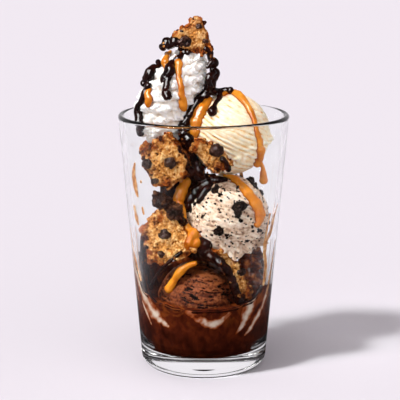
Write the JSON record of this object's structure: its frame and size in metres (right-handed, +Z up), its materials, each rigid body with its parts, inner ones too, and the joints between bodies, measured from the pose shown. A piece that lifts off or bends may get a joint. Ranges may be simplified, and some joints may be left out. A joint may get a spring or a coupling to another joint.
{
  "type": "ice cream sundae",
  "caption": "Ice cream sundae built in a tall conical glass: scoops standing in fudge sauce, broken chocolate chip cookies, a leaning whipped cream swirl and caramel.",
  "frame": {"origin": "centre of the glass's foot, on the surface it stands on", "axes": "+Z up along the glass's axis; -Y is the side the sundae is served and seen from; +X to the right from there"},
  "size_m": [0.09, 0.09, 0.1874],
  "materials": {
    "clear_glass": "clear pressed soda-lime glass, polished",
    "fudge_sauce": "dark chocolate fudge sauce, wet and glossy",
    "caramel_sauce": "amber caramel sauce, wet and glossy",
    "chocolate_ice_cream": "scooped milk chocolate ice cream, torn and icy",
    "cookies_and_cream_ice_cream": "scooped white ice cream with dark cookie crumbs",
    "vanilla_ice_cream": "scooped vanilla ice cream with drawn ridges",
    "whipped_cream": "piped whipped cream, soft and slightly shiny",
    "chocolate_chip_cookie": "broken baked crumb with a browned crust",
    "brownie": "dark chocolate crumb and chocolate chips"
  },
  "bodies": {
    "root": {"glass": "clear_glass", "fudge_pool": "fudge_sauce", "fudge_column": "fudge_sauce", "chocolate_scoop": "chocolate_ice_cream", "cookies_cream_scoop": "cookies_and_cream_ice_cream", "vanilla_scoop": "vanilla_ice_cream", "whipped_cream": "whipped_cream", "cookie_top": "chocolate_chip_cookie", "cookie_upper_left": "chocolate_chip_cookie", "cookie_centre": "chocolate_chip_cookie", "cookie_lower_left": "chocolate_chip_cookie", "cookie_lower_right": "chocolate_chip_cookie", "cookie_under_cream": "chocolate_chip_cookie", "brownie_upper": "brownie", "brownie_lower": "brownie"}
  },
  "joints": []
}
